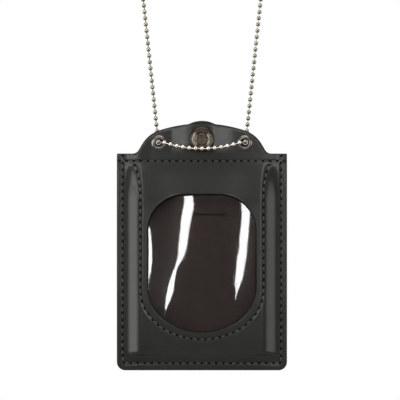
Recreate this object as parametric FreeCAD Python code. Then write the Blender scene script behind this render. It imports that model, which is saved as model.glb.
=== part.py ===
"""Neck badge wallet of leather: moulded front, window, snap strap, eyelets and ball chain.

Millimetres. It is drawn about the line through the two eyelets: X runs to the right, the front
faces -Y and Z is up. Y 0 is the back face of the front leather where that leather lies flat.
The finished pieces are moved so that the origin is the top of the chain's loop.
"""
import FreeCAD, Part
import math
import os

V = FreeCAD.Vector

# Thicknesses of leather and film
front_leather = 1.6
inner_leather = 1.2
back_leather = 1.6
strap_leather = 1.6
film_thickness = 0.4

# Clearances: fixed fits, moving bodies, and how far a cut runs past a face
fit_gap = 0.05
run_gap = 0.3
cut_overrun = 1.0

# Body of the wallet, below the shoulder line
body_width = 89.0
body_height = 113.3
bottom_corner_radius = 4.5
shoulder_corner_radius = 0.8
shoulder_drop = 5.5

# Bell-shaped tab: a flat crown arc, a rounder flank on each side and a hollow foot
crown_rise = 10.2
crown_radius = 71.5
crown_half_width = 22.4
flank_radius = 16.0
flank_angle = 59.0
foot_radius = 3.5

# Moulded plateau of the front
mould_rise = 3.4
mould_side_margin = 3.8
mould_bottom_margin = 6.2
mould_top_drop = 5.5
mould_side_slope = 6.3
mould_bottom_slope = 4.7
mould_top_slope = 25.0
mould_corner_radius = 8.0
corner_facets = 4

# Window in the front
window_width = 56.2
window_height = 71.5
window_top_drop = 21.4
window_corner_radius = 19.0
window_bottom_arch = 23.0

# Lining band, inner leather and its slit
band_height = 7.5
band_gap = 0.4
slit_drop = 31.9
slit_length = 24.5
slit_width = 0.8
slit_end_radius = 0.9

# Flat card pocket of the back
pocket_rise = 1.2
pocket_slope = 3.0

# Closing strap
strap_width = 20.0
strap_tip_rise = 11.8
strap_tip_radius = 15.0
strap_fold_drop = 16.0
strap_base_length = 24.0
strap_base_corner_radius = 3.0

# Seams and their thread
seam_side_margin = 3.1
seam_bottom_margin = 3.8
seam_end_margin = 1.2
top_seam_drop = 4.0
window_seam_width = 64.0
window_seam_flare = 3.0
window_seam_flare_height = 15.5
window_seam_start_drop = 6.0
window_seam_bottom_margin = 16.5
window_seam_arch = 25.3
film_margin = 1.6
strap_seam_margin = 2.6
stitch_pitch = 3.75
stitch_length_share = 0.78
stitch_width = 0.75
stitch_rise = 0.3
stitch_seat = 0.1

# Snap fastener
snap_rise = 1.8
cap_diameter = 13.1
cap_height = 2.1
cap_rim_height = 1.0
cap_ring_depth = 0.25
cap_disc_radius = 3.0
cap_field_radius = 5.2
cap_ring_width = 0.45
cap_stem_radius = 1.5
clench_radius = 2.0
clench_height = 0.25
socket_radius = 5.6
socket_top_radius = 4.4
socket_edge_height = 0.5
socket_floor = 0.35
stud_flange_radius = 3.8
stud_flange_thickness = 0.35
stud_neck_radius = 1.5
stud_bulb_radius = 1.8
stud_tip_radius = 1.3
stud_height = 1.6
stud_tip_wall = 0.5
snap_play = 0.35
spring_wire = 0.5
spring_chamber_width = 1.0
post_flange_radius = 4.6
post_crown_radius = 2.2
post_dome = 0.9
post_edge = 0.3
post_stem_radius = 0.9

# Eyelets and their washers
eyelet_spacing = 44.7
eyelet_hole = 4.0
eyelet_wall = 0.35
eyelet_flange = 8.2
eyelet_proud = 0.75
eyelet_crest_width = 0.6
eyelet_curl_width = 0.4
eyelet_curl_height = 0.25
washer_diameter = 8.0
washer_thickness = 0.35
washer_bevel = 0.2

# Ball chain
bead_diameter = 2.4
bead_pitch = 3.31
bead_sides = 6
bead_ring_shares = ((-0.9, 0.44), (-0.42, 0.91), (0.42, 0.91), (0.9, 0.44))
pin_diameter = 0.7
pin_sides = 3
swag_drop = 3.0
swag_end_rise = 0.1
mouth_bead_shift = 0.1
mouth_bead_rise = 0.6
knuckle_shift = 0.3
knuckle_rise = 0.5
strand_shift = 0.85
strand_lean = 6.0
neck_steps = 37
connector_length = 9.6
connector_wall = 0.35
connector_lip = 0.4
connector_slot = 1.0
connector_eye_radius = 0.8

# Places that follow from the sizes above
body_half = body_width / 2
shoulder_z = -shoulder_drop
bottom_z = shoulder_z - body_height
band_low_z = shoulder_z - band_height
mould_half = body_half - mould_side_margin
mould_low_z = bottom_z + mould_bottom_margin
mould_high_z = shoulder_z - mould_top_drop
bead_radius = bead_diameter / 2
eyelet_x = eyelet_spacing / 2
eyelet_radius = eyelet_hole / 2
barrel_radius = eyelet_radius + eyelet_wall
tab_front_y = -front_leather
tab_back_y = inner_leather
flange_back_y = inner_leather + back_leather
back_y = flange_back_y + pocket_rise
flap_front_y = back_y + run_gap
flap_back_y = flap_front_y + strap_leather
fold_z = -strap_fold_drop
stud_front_y = flap_front_y - stud_flange_thickness
stud_tip_y = stud_front_y - stud_height
socket_back_y = stud_front_y - run_gap
socket_floor_y = tab_back_y + socket_floor
snap_mouth_radius = stud_bulb_radius + snap_play
spring_y = (stud_front_y + stud_tip_y) / 2
strand_y = tab_back_y + washer_thickness + eyelet_curl_height + bead_radius + run_gap


# Lines, plates and turned pieces

def spot(x, z, y=0.0):
    return V(x, y, z)


def mirrored(point):
    return V(-point.x, point.y, point.z)


def line(a, b):
    return Part.LineSegment(a, b).toShape()


def arc(a, middle, b):
    return Part.Arc(a, middle, b).toShape()


def lower_half_ellipse(half_width, depth, center_z):
    center = spot(0, center_z)
    ellipse = Part.Ellipse(spot(half_width, center_z), spot(0, center_z - depth), center)
    if depth > half_width:
        ellipse = Part.Ellipse(spot(0, center_z - depth), spot(-half_width, center_z), center)
        return Part.ArcOfEllipse(ellipse, -math.pi / 2, math.pi / 2).toShape()
    return Part.ArcOfEllipse(ellipse, 0, math.pi).toShape()


def closed(edges):
    return Part.Wire(Part.__sortEdges__(edges))


def plate(edges, y_low, y_high):
    face = Part.Face(closed(edges))
    face.translate(V(0, y_low, 0))
    return face.extrude(V(0, y_high - y_low, 0))


def polygon(points):
    return [line(a, b) for a, b in zip(points, points[1:] + points[:1])]


def rod_along_y(radius, x, z, y_low, y_high):
    return Part.makeCylinder(radius, y_high - y_low, V(x, y_low, z), V(0, 1, 0))


def turned(profile, x, z):
    """A solid turned about a line along Y, from the (radius, y) corners of its profile."""
    outline = closed(polygon([V(radius, y, 0) for radius, y in profile]))
    solid = Part.Face(outline).revolve(V(0, 0, 0), V(0, 1, 0), 360)
    solid.translate(V(x, 0, z))
    return solid


# Leather and film

def pouch_edges(top_z):
    """Both sides and the round-cornered bottom of the body, up to a height."""
    r = bottom_corner_radius
    bend = r * (1 - math.sqrt(0.5))
    side = [line(spot(body_half, top_z), spot(body_half, bottom_z + r)),
            arc(spot(body_half, bottom_z + r), spot(body_half - bend, bottom_z + bend),
                spot(body_half - r, bottom_z))]
    other = [edge.mirror(V(0, 0, 0), V(1, 0, 0)) for edge in side]
    return side + other + [line(spot(body_half - r, bottom_z), spot(r - body_half, bottom_z))]


def bell_edges():
    """Shoulders and bell of the tab, from one side of the body to the other."""
    crown_center_z = crown_rise - crown_radius
    start = math.asin(crown_half_width / crown_radius)
    end = math.radians(flank_angle)

    def around(center, radius, angle):
        return spot(center.x + radius * math.sin(angle), center.z + radius * math.cos(angle))

    crown_end = around(spot(0, crown_center_z), crown_radius, start)
    flank_center = around(crown_end, -flank_radius, start)
    flank_middle = around(flank_center, flank_radius, (start + end) / 2)
    flank_end = around(flank_center, flank_radius, end)
    foot_center_z = shoulder_z + foot_radius
    foot_start_z = foot_center_z - foot_radius * math.cos(end)
    foot_start_x = flank_end.x + (flank_end.z - foot_start_z) / math.tan(end)
    foot_center = spot(foot_start_x + foot_radius * math.sin(end), foot_center_z)
    foot_start = spot(foot_start_x, foot_start_z)
    foot_middle = around(foot_center, -foot_radius, end / 2)
    foot_end = spot(foot_center.x, shoulder_z)
    r = shoulder_corner_radius
    bend = r * (1 - math.sqrt(0.5))
    side = [arc(crown_end, flank_middle, flank_end),
            line(flank_end, foot_start),
            arc(foot_start, foot_middle, foot_end),
            line(foot_end, spot(body_half - r, shoulder_z)),
            arc(spot(body_half - r, shoulder_z), spot(body_half - bend, shoulder_z - bend),
                spot(body_half, shoulder_z - r))]
    other = [edge.mirror(V(0, 0, 0), V(1, 0, 0)) for edge in side]
    return side + other + [arc(crown_end, spot(0, crown_rise), mirrored(crown_end))]


def tray_outline(half, low_z, high_z, radius, y):
    """Corners of a tray's outline, with round bottom corners in a few flat facets."""
    turns = [math.pi / 2 * step / corner_facets for step in range(corner_facets + 1)]
    right = [spot(half - radius + radius * math.cos(turn), low_z + radius - radius * math.sin(turn), y)
             for turn in turns]
    left = [mirrored(point) for point in reversed(right)]
    return [spot(half, high_z, y)] + right + left + [spot(-half, high_z, y)]


def facet_solid(rings):
    """A closed solid of flat facets through a row of rings with like corners."""
    faces = [Part.Face(Part.makePolygon(ring + ring[:1])) for ring in (rings[0], rings[-1])]
    for low, high in zip(rings, rings[1:]):
        for i in range(len(low)):
            j = (i + 1) % len(low)
            faces.append(Part.Face(Part.makePolygon([low[i], low[j], high[j], high[i], low[i]])))
    solid = Part.Solid(Part.Shell(faces))
    if solid.Volume < 0:
        solid.reverse()
    return solid


def tray(half, low_z, high_z, slopes, radius, y_base, y_top):
    """Raised tray between two outlines: slopes are those of the sides, the bottom and the top."""
    side_slope, bottom_slope, top_slope = slopes
    top_radius = radius * (half - side_slope) / half
    base = tray_outline(half, low_z, high_z, radius, y_base)
    top = tray_outline(half - side_slope, low_z + bottom_slope, high_z - top_slope, top_radius, y_top)
    return facet_solid([base, top])


def wall_shift(thickness, rise, slope):
    """How far the inside of a sloping wall lies in from its outside, for an even thickness."""
    return thickness * math.tan(math.atan2(rise, slope) / 2)


def mould_height(x, z):
    share = min(1, (mould_half - abs(x)) / mould_side_slope, (mould_high_z - z) / mould_top_slope,
                (z - mould_low_z) / mould_bottom_slope)
    return mould_rise * max(0, share)


def front_face_y(x, z):
    return tab_front_y - mould_height(x, z)


def window_edges():
    half = window_width / 2
    top_z = shoulder_z - window_top_drop
    arch_z = top_z - window_height + window_bottom_arch
    r = window_corner_radius
    bend = r * (1 - math.sqrt(0.5))
    side = [line(spot(half, arch_z), spot(half, top_z - r)),
            arc(spot(half, top_z - r), spot(half - bend, top_z - bend), spot(half - r, top_z))]
    other = [edge.mirror(V(0, 0, 0), V(1, 0, 0)) for edge in side]
    top = line(spot(half - r, top_z), spot(r - half, top_z))
    return side + other + [top, lower_half_ellipse(half, window_bottom_arch, arch_z)]


def tab_holes():
    """Holes for the two eyelets and the snap's stem, through the tab and its lining."""
    y_low = tab_front_y - cut_overrun
    y_high = tab_back_y + cut_overrun
    holes = [rod_along_y(barrel_radius + fit_gap, side * eyelet_x, 0, y_low, y_high) for side in (-1, 1)]
    holes.append(rod_along_y(cap_stem_radius + fit_gap, 0, snap_rise, y_low, y_high))
    return holes


def front_panel():
    flat = plate(pouch_edges(shoulder_z - shoulder_corner_radius) + bell_edges(), tab_front_y, 0)
    slopes = (mould_side_slope, mould_bottom_slope, mould_top_slope)
    raised = tray(mould_half, mould_low_z, mould_high_z, slopes, mould_corner_radius,
                  tab_front_y, tab_front_y - mould_rise)
    in_side, in_bottom, in_top = [wall_shift(front_leather, mould_rise, slope) for slope in slopes]
    hollow = tray(mould_half - in_side, mould_low_z + in_bottom, mould_high_z - in_top, slopes,
                  mould_corner_radius, 0, -mould_rise)
    window = plate(window_edges(), tab_front_y - mould_rise - cut_overrun, cut_overrun)
    return flat.fuse(raised).cut([hollow, window] + tab_holes()).removeSplitter()


def tab_lining():
    low = [line(spot(body_half, shoulder_z - shoulder_corner_radius), spot(body_half, band_low_z)),
           line(spot(-body_half, shoulder_z - shoulder_corner_radius), spot(-body_half, band_low_z)),
           line(spot(body_half, band_low_z), spot(-body_half, band_low_z))]
    return plate(low + bell_edges(), 0, inner_leather).cut(tab_holes())


def window_film():
    """Film that follows the inside of the moulded front and is trimmed just outside its seam."""
    in_top = wall_shift(front_leather, mould_rise, mould_top_slope)
    slope_start_z = mould_high_z - in_top
    knee_z = slope_start_z - mould_top_slope
    top_z = slope_start_z - (film_thickness + 2 * fit_gap) * mould_top_slope / mould_rise
    top_y = mould_rise * (top_z - slope_start_z) / mould_top_slope
    half = window_seam_width / 2 + film_margin
    arch_z = bottom_z + window_seam_bottom_margin + window_seam_arch
    depth = window_seam_arch + film_margin
    low_z = arch_z - depth - cut_overrun
    front = [spot(0, top_z, top_y), spot(0, knee_z, -mould_rise), spot(0, low_z, -mould_rise)]
    shift = V(-half, fit_gap, 0)
    back = [point + V(0, film_thickness, 0) for point in reversed(front)]
    strip = Part.Face(closed(polygon([point + shift for point in front + back])))
    sheet = strip.extrude(V(2 * half, 0, 0))
    sides = [line(spot(side * half, arch_z), spot(side * half, top_z)) for side in (-1, 1)]
    top = line(spot(half, top_z), spot(-half, top_z))
    trim = plate(sides + [top, lower_half_ellipse(half, depth, arch_z)], -mould_rise - cut_overrun, cut_overrun)
    return sheet.common(trim)


def badge_panel():
    top_z = band_low_z - band_gap
    panel = plate(pouch_edges(top_z) + [line(spot(body_half, top_z), spot(-body_half, top_z))], 0, inner_leather)
    slit_z = shoulder_z - slit_drop
    end_x = slit_length / 2 - slit_end_radius
    y_low = -cut_overrun
    y_high = inner_leather + cut_overrun
    slit = Part.makeBox(2 * end_x, y_high - y_low, slit_width, V(-end_x, y_low, slit_z - slit_width / 2))
    ends = [rod_along_y(slit_end_radius, side * end_x, slit_z, y_low, y_high) for side in (-1, 1)]
    return panel.cut([slit] + ends)


def back_panel():
    low_top_z = shoulder_z - shoulder_corner_radius
    r = shoulder_corner_radius
    bend = r * (1 - math.sqrt(0.5))
    corner = arc(spot(body_half, low_top_z), spot(body_half - bend, shoulder_z - bend), spot(body_half - r, shoulder_z))
    top = [corner, corner.mirror(V(0, 0, 0), V(1, 0, 0)),
           line(spot(body_half - r, shoulder_z), spot(r - body_half, shoulder_z))]
    flat = plate(pouch_edges(low_top_z) + top, inner_leather, flange_back_y)
    slopes = (pocket_slope, pocket_slope, 0)
    raised = tray(mould_half, mould_low_z, shoulder_z, slopes, mould_corner_radius, flange_back_y, back_y)
    shift = wall_shift(back_leather, pocket_rise, pocket_slope)
    hollow = tray(mould_half - shift, mould_low_z + shift, shoulder_z + cut_overrun, slopes,
                  mould_corner_radius, inner_leather, inner_leather + pocket_rise)
    return flat.fuse(raised).cut(hollow).removeSplitter()


def strap_base():
    half = strap_width / 2
    top_z = fold_z - run_gap / 2
    low_z = top_z - strap_base_length
    r = strap_base_corner_radius
    bend = r * (1 - math.sqrt(0.5))
    side = [line(spot(half, top_z), spot(half, low_z + r)),
            arc(spot(half, low_z + r), spot(half - bend, low_z + bend), spot(half - r, low_z))]
    other = [edge.mirror(V(0, 0, 0), V(1, 0, 0)) for edge in side]
    ends = [line(spot(half, top_z), spot(-half, top_z)), line(spot(half - r, low_z), spot(r - half, low_z))]
    return plate(side + other + ends, back_y, back_y + strap_leather)


def strap_flap():
    half = strap_width / 2
    low_z = fold_z + run_gap / 2
    side_z = strap_tip_rise - strap_tip_radius + math.sqrt(strap_tip_radius ** 2 - half ** 2)
    edges = [line(spot(half, low_z), spot(half, side_z)), line(spot(-half, low_z), spot(-half, side_z)),
             line(spot(half, low_z), spot(-half, low_z)),
             arc(spot(half, side_z), spot(0, strap_tip_rise), spot(-half, side_z))]
    hole = rod_along_y(post_stem_radius + fit_gap, 0, snap_rise, flap_front_y - cut_overrun, flap_back_y + cut_overrun)
    return plate(edges, flap_front_y, flap_back_y).cut(hole)


# Seams: one short ridge of thread for each stitch, laid from hole to hole

def stitch(a, b, side, face_y):
    """A ridge of thread on the plane that touches the leather at the stitch's middle."""
    middle = (a + b) * 0.5
    along = (b - a) * (stitch_length_share / 2)
    across = V(a.z - b.z, 0, b.x - a.x) * (stitch_width / 2 / (b - a).Length)
    for arm in (along, across):
        ahead = middle + arm
        behind = middle - arm
        arm.y = (face_y(ahead.x, ahead.z) - face_y(behind.x, behind.z)) / 2
    middle.y = face_y(middle.x, middle.z) + side * stitch_seat
    start = middle - along
    corners = [start - across, start + across, start + V(0, side * stitch_rise, 0)]
    return Part.Face(closed(polygon(corners))).extrude(along * 2)


def stitch_row(edges, side, face_y):
    path = closed(edges)
    holes = path.discretize(Number=round(path.Length / stitch_pitch) + 1)
    return [stitch(a, b, side, face_y) for a, b in zip(holes, holes[1:])]


def perimeter_stitching():
    half = body_half - seam_side_margin
    low_z = bottom_z + seam_bottom_margin
    top_z = shoulder_z - seam_end_margin
    r = bottom_corner_radius - seam_side_margin
    bend = r * (1 - math.sqrt(0.5))
    edges = [line(spot(-half, top_z), spot(-half, low_z + r)),
             arc(spot(-half, low_z + r), spot(bend - half, low_z + bend), spot(r - half, low_z)),
             line(spot(r - half, low_z), spot(half - r, low_z)),
             arc(spot(half - r, low_z), spot(half - bend, low_z + bend), spot(half, low_z + r)),
             line(spot(half, low_z + r), spot(half, top_z))]
    return Part.makeCompound(stitch_row(edges, -1, front_face_y))


def top_stitching():
    reach = body_half - seam_side_margin - stitch_pitch / 2
    z = shoulder_z - top_seam_drop
    return Part.makeCompound(stitch_row([line(spot(-reach, z), spot(reach, z))], -1, front_face_y))


def window_stitching():
    half = window_seam_width / 2
    start = spot(half + window_seam_flare, shoulder_z - window_seam_start_drop)
    foot = spot(half, start.z - window_seam_flare_height)
    radius = (window_seam_flare_height ** 2 + window_seam_flare ** 2) / (2 * window_seam_flare)
    turn = math.asin(window_seam_flare_height / radius) / 2
    middle = spot(half + radius * (1 - math.cos(turn)), foot.z + radius * math.sin(turn))
    arch_z = bottom_z + window_seam_bottom_margin + window_seam_arch
    side = [arc(start, middle, foot), line(foot, spot(half, arch_z))]
    other = [edge.mirror(V(0, 0, 0), V(1, 0, 0)) for edge in side]
    edges = side + other + [lower_half_ellipse(half, window_seam_arch, arch_z)]
    return Part.makeCompound(stitch_row(edges, -1, front_face_y))


def strap_stitching():
    half = strap_width / 2 - strap_seam_margin
    top_z = fold_z - run_gap / 2 - strap_seam_margin
    low_z = fold_z - run_gap / 2 - strap_base_length + strap_seam_margin
    corners = [spot(-half, top_z), spot(half, top_z), spot(half, low_z), spot(-half, low_z)]
    rows = [stitch_row([edge], 1, lambda x, z: back_y + strap_leather) for edge in polygon(corners)]
    return Part.makeCompound(sum(rows, []))


# Snap fastener

def snap_cap():
    """Cap with a plain ring relief, and the stem that is clenched over the socket's floor."""
    radius = cap_diameter / 2
    top_y = tab_front_y - cap_height
    groove_y = top_y + cap_ring_depth
    rim_y = tab_front_y - cap_rim_height
    clench_y = socket_floor_y + clench_height
    return turned([(0, top_y), (cap_disc_radius, top_y), (cap_disc_radius + cap_ring_width, groove_y),
                   (cap_field_radius, groove_y), (cap_field_radius + cap_ring_width, top_y), (radius, rim_y),
                   (radius - cap_ring_width, tab_front_y), (cap_stem_radius, tab_front_y),
                   (cap_stem_radius, socket_floor_y), (clench_radius, socket_floor_y),
                   (clench_radius, clench_y), (0, clench_y)], 0, snap_rise)


def snap_socket():
    chamber = snap_mouth_radius + spring_chamber_width
    low = spring_y - spring_wire / 2 - fit_gap
    high = spring_y + spring_wire / 2 + fit_gap
    hole = cap_stem_radius + fit_gap
    return turned([(hole, tab_back_y), (socket_radius, tab_back_y),
                   (socket_radius, tab_back_y + socket_edge_height), (socket_top_radius, socket_back_y),
                   (snap_mouth_radius, socket_back_y), (snap_mouth_radius, high), (chamber, high), (chamber, low),
                   (snap_mouth_radius, low), (snap_mouth_radius, socket_floor_y), (hole, socket_floor_y)],
                  0, snap_rise)


def snap_spring():
    """Two straight wires that pass beside the stud's neck."""
    radius = spring_wire / 2
    x = stud_bulb_radius + fit_gap + radius
    chamber = snap_mouth_radius + spring_chamber_width - fit_gap
    half = math.sqrt(chamber ** 2 - (x + radius) ** 2)
    wires = [Part.makeCylinder(radius, 2 * half, V(side * x, spring_y, snap_rise - half), V(0, 0, 1))
             for side in (-1, 1)]
    return Part.makeCompound(wires)


def snap_stud():
    bore = post_stem_radius + fit_gap
    bulb_y = (stud_front_y + 2 * stud_tip_y) / 3
    bore_y = stud_tip_y + stud_tip_wall
    return turned([(0, bore_y), (bore, bore_y), (bore, flap_front_y), (stud_flange_radius, flap_front_y),
                   (stud_flange_radius, stud_front_y), (stud_neck_radius, stud_front_y),
                   (stud_bulb_radius, bulb_y), (stud_tip_radius, stud_tip_y), (0, stud_tip_y)], 0, snap_rise)


def snap_post():
    dome_y = flap_back_y + post_dome
    edge_y = flap_back_y + post_edge
    stem_y = stud_tip_y + stud_tip_wall + fit_gap
    return turned([(0, dome_y), (post_crown_radius, dome_y), (post_flange_radius, edge_y),
                   (post_flange_radius, flap_back_y), (post_stem_radius, flap_back_y),
                   (post_stem_radius, stem_y), (0, stem_y)], 0, snap_rise)


# Eyelets

def eyelet(side):
    """Rolled front flange, barrel through tab and lining, and a curl over the washer."""
    crest_radius = eyelet_radius + eyelet_crest_width
    seat_y = tab_back_y + washer_thickness
    curl_radius = barrel_radius + eyelet_curl_width
    return turned([(eyelet_radius, seat_y), (eyelet_radius, tab_front_y - eyelet_proud / 2),
                   (crest_radius, tab_front_y - eyelet_proud), (eyelet_flange / 2, tab_front_y),
                   (barrel_radius, tab_front_y), (barrel_radius, seat_y), (curl_radius, seat_y),
                   (barrel_radius, seat_y + eyelet_curl_height)], side * eyelet_x, 0)


def eyelet_washer(side):
    seat_y = tab_back_y + washer_thickness
    inner = barrel_radius + fit_gap
    outer = washer_diameter / 2
    return turned([(inner, tab_back_y), (outer, tab_back_y), (outer - washer_bevel, seat_y), (inner, seat_y)],
                  side * eyelet_x, 0)


# Ball chain: places of the balls on the right, from the middle of the front to the connector

def swag_point(x):
    """Middle line of the chain where it sags across the front of the tab, in front of the snap's cap."""
    span = eyelet_x - eyelet_flange / 2 + bead_radius
    share = x / span
    end_y = tab_front_y - eyelet_proud - bead_radius - fit_gap
    middle_y = tab_front_y - cap_height - bead_radius - fit_gap
    y = end_y + (middle_y - end_y) * (1 + math.cos(math.pi * share)) / 2
    return V(x, y, (swag_drop + swag_end_rise) * share ** 2 - swag_drop)


def next_on_swag(point):
    near = point.x
    far = point.x + bead_pitch
    for _ in range(40):
        middle = (near + far) / 2
        if swag_point(middle).distanceToPoint(point) < bead_pitch:
            near = middle
        else:
            far = middle
    return swag_point(near)


def front_beads_right():
    """Balls of the front stretch, up to the one in the eyelet's front mouth."""
    beads = [swag_point(0)]
    x = eyelet_x + mouth_bead_shift
    while math.hypot(x - beads[-1].x, mouth_bead_rise - beads[-1].z) > bead_pitch:
        beads.append(next_on_swag(beads[-1]))
    last = beads[-1]
    reach = bead_pitch ** 2 - (x - last.x) ** 2 - (mouth_bead_rise - last.z) ** 2
    return beads + [V(x, last.y + math.sqrt(reach), mouth_bead_rise)]


def knuckle_bead():
    """The ball in the eyelet's back mouth, about which the wallet swings."""
    mouth = front_beads_right()[-1]
    x = eyelet_x + knuckle_shift
    reach = bead_pitch ** 2 - (x - mouth.x) ** 2 - (knuckle_rise - mouth.z) ** 2
    return V(x, mouth.y + math.sqrt(reach), knuckle_rise)


def strand_foot():
    """The first ball of the straight strand, clear behind the tab."""
    knuckle = knuckle_bead()
    x = eyelet_x + strand_shift
    reach = bead_pitch ** 2 - (x - knuckle.x) ** 2 - (strand_y - knuckle.y) ** 2
    return V(x, strand_y, knuckle.z + math.sqrt(reach))


end_bead_x = connector_length / 2 - connector_lip - bead_radius - fit_gap
lean = math.radians(strand_lean)
foot = strand_foot()
arch_turn = math.pi / 2 + lean
neck_length = neck_steps * bead_pitch + end_bead_x
strand_length = (neck_length - foot.x * arch_turn / math.cos(lean)) / (1 + math.tan(lean) * arch_turn)
arch_radius = (foot.x + strand_length * math.sin(lean)) / math.cos(lean)
arch_z = foot.z + strand_length * math.cos(lean) + arch_radius * math.sin(lean)
loop_rise = arch_z + arch_radius * math.cos(end_bead_x / arch_radius)


def neck_point(distance):
    """A point of the neck chain, by its distance from the strand's foot: a straight strand, then the arch."""
    if distance < strand_length:
        return foot + V(math.sin(lean), 0, math.cos(lean)) * distance
    angle = arch_turn - (distance - strand_length) / arch_radius
    return V(arch_radius * math.sin(angle), strand_y, arch_z + arch_radius * math.cos(angle))


def neck_beads_right():
    return [knuckle_bead()] + [neck_point(step * bead_pitch) for step in range(neck_steps + 1)]


def ball():
    """A ball with flat poles along Z, in a few flat facets."""
    rings = []
    for height_share, width_share in bead_ring_shares:
        angles = [2 * math.pi * step / bead_sides for step in range(bead_sides)]
        rings.append([V(math.cos(a), math.sin(a), 0) * (bead_radius * width_share)
                      + V(0, 0, bead_radius * height_share) for a in angles])
    return facet_solid(rings)


def strung(points):
    """Balls on a run of points, each turned along the chain."""
    shape = ball()
    beads = []
    for i, point in enumerate(points):
        before = points[max(i - 1, 0)]
        after = points[min(i + 1, len(points) - 1)]
        bead = shape.copy()
        bead.Placement = FreeCAD.Placement(point, FreeCAD.Rotation(V(0, 0, 1), after - before))
        beads.append(bead)
    return beads


def link_pins(points, beads):
    """Pins from ball to ball, ending on the balls' faces."""
    pins = []
    for a, b, bead_a, bead_b in zip(points, points[1:], beads, beads[1:]):
        angles = [2 * math.pi * step / pin_sides for step in range(pin_sides)]
        corners = [V(math.cos(angle), math.sin(angle), 0) * (pin_diameter / 2) for angle in angles]
        pin = Part.Face(Part.makePolygon(corners + corners[:1])).extrude(V(0, 0, bead_pitch))
        pin.Placement = FreeCAD.Placement(a, FreeCAD.Rotation(V(0, 0, 1), b - a))
        pins.append(pin.cut([bead_a, bead_b]).Solids[0])
    return pins


def both_sides(right):
    return [mirrored(point) for point in reversed(right)] + right


def front_chain():
    points = both_sides(front_beads_right()[1:])
    points.insert(len(points) // 2, swag_point(0))
    beads = strung(points)
    knuckle = knuckle_bead()
    ends = [mirrored(knuckle), knuckle]
    clear = [Part.makeSphere(bead_radius + run_gap / 2, point) for point in ends]
    pins = link_pins(ends[:1] + points + ends[1:], clear[:1] + beads + clear[1:])
    return Part.makeCompound(beads), Part.makeCompound(pins)


def neck_chain():
    beads = []
    pins = []
    for points in (neck_beads_right(), [mirrored(point) for point in neck_beads_right()]):
        side = strung(points)
        beads += side
        pins += link_pins(points, side)
    return Part.makeCompound(beads), Part.makeCompound(pins)


def chain_connector():
    """Slotted sleeve that holds the chain's two end balls behind its end lips."""
    inner = bead_radius + 2 * fit_gap
    outer = inner + connector_wall
    half = connector_length / 2
    sleeve = Part.makeCylinder(outer, connector_length, V(-half, strand_y, loop_rise), V(1, 0, 0))
    room = Part.makeCylinder(inner, connector_length - 2 * connector_lip,
                             V(connector_lip - half, strand_y, loop_rise), V(1, 0, 0))
    eyes = Part.makeCylinder(connector_eye_radius, connector_length, V(-half, strand_y, loop_rise), V(1, 0, 0))
    slot = Part.makeBox(connector_length, connector_slot, outer,
                        V(-half, strand_y - connector_slot / 2, loop_rise - outer))
    return sleeve.cut([room, eyes, slot])


def main():
    front_beads, front_pins = front_chain()
    neck_beads, neck_pins = neck_chain()
    nodes = {
        "front_panel": front_panel(),
        "tab_lining": tab_lining(),
        "window_film": window_film(),
        "badge_panel": badge_panel(),
        "back_panel": back_panel(),
        "strap_base": strap_base(),
        "strap_flap": strap_flap(),
        "snap_cap": snap_cap(),
        "snap_socket": snap_socket(),
        "snap_spring": snap_spring(),
        "snap_stud": snap_stud(),
        "snap_post": snap_post(),
        "perimeter_stitching": perimeter_stitching(),
        "top_stitching": top_stitching(),
        "window_stitching": window_stitching(),
        "strap_stitching": strap_stitching(),
        "chain_front_beads": front_beads,
        "chain_front_pins": front_pins,
        "chain_neck_beads": neck_beads,
        "chain_neck_pins": neck_pins,
        "chain_connector": chain_connector(),
    }
    for name, side in (("left", -1), ("right", 1)):
        nodes["eyelet_" + name] = eyelet(side)
        nodes["eyelet_washer_" + name] = eyelet_washer(side)
    to_origin = V(0, -strand_y, -loop_rise)
    os.makedirs("parts", exist_ok=True)
    for name, shape in nodes.items():
        placed = shape.copy()
        placed.translate(to_origin)
        placed.exportStep("parts/" + name + ".step")
    print("loop rise", loop_rise, "arch radius", arch_radius)
    print("swing axis", knuckle_bead() + to_origin)
    print("fold axis", V(0, flap_back_y, fold_z) + to_origin)
    print("slit", V(0, 0, shoulder_z - slit_drop) + to_origin)


main()
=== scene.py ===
import math
import bpy
import bmesh
from mathutils import Matrix, Vector, kdtree


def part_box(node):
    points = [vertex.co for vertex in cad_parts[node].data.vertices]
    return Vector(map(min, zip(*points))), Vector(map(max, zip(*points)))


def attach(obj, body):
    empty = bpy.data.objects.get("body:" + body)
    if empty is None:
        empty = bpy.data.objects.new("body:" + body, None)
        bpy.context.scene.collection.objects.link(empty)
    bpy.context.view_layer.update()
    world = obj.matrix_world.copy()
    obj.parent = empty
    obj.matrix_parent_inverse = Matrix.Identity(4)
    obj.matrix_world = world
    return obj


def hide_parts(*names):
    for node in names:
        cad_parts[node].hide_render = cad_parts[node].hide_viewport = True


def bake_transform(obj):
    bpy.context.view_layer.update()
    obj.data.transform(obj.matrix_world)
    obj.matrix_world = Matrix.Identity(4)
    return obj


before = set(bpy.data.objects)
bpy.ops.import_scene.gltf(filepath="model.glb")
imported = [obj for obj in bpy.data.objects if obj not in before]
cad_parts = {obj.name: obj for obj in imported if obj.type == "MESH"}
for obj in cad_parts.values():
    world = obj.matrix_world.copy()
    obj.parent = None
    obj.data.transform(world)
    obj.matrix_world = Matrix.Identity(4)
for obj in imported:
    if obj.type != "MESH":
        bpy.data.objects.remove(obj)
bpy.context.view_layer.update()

# Shapes are drawn in millimetres about the line through the two eyelets, as in the part's source:
# X to the right, the front faces -Y, Z up, and Y 0 is the back face of the flat front leather.
MM = 0.001
EYE_Z = (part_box("eyelet_left")[0][2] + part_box("eyelet_left")[1][2]) / 2
LEATHER_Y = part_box("tab_lining")[0][1]
TO_ROW = Matrix.Translation((0, LEATHER_Y, EYE_Z)) @ Matrix.Scale(MM, 4)

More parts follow.
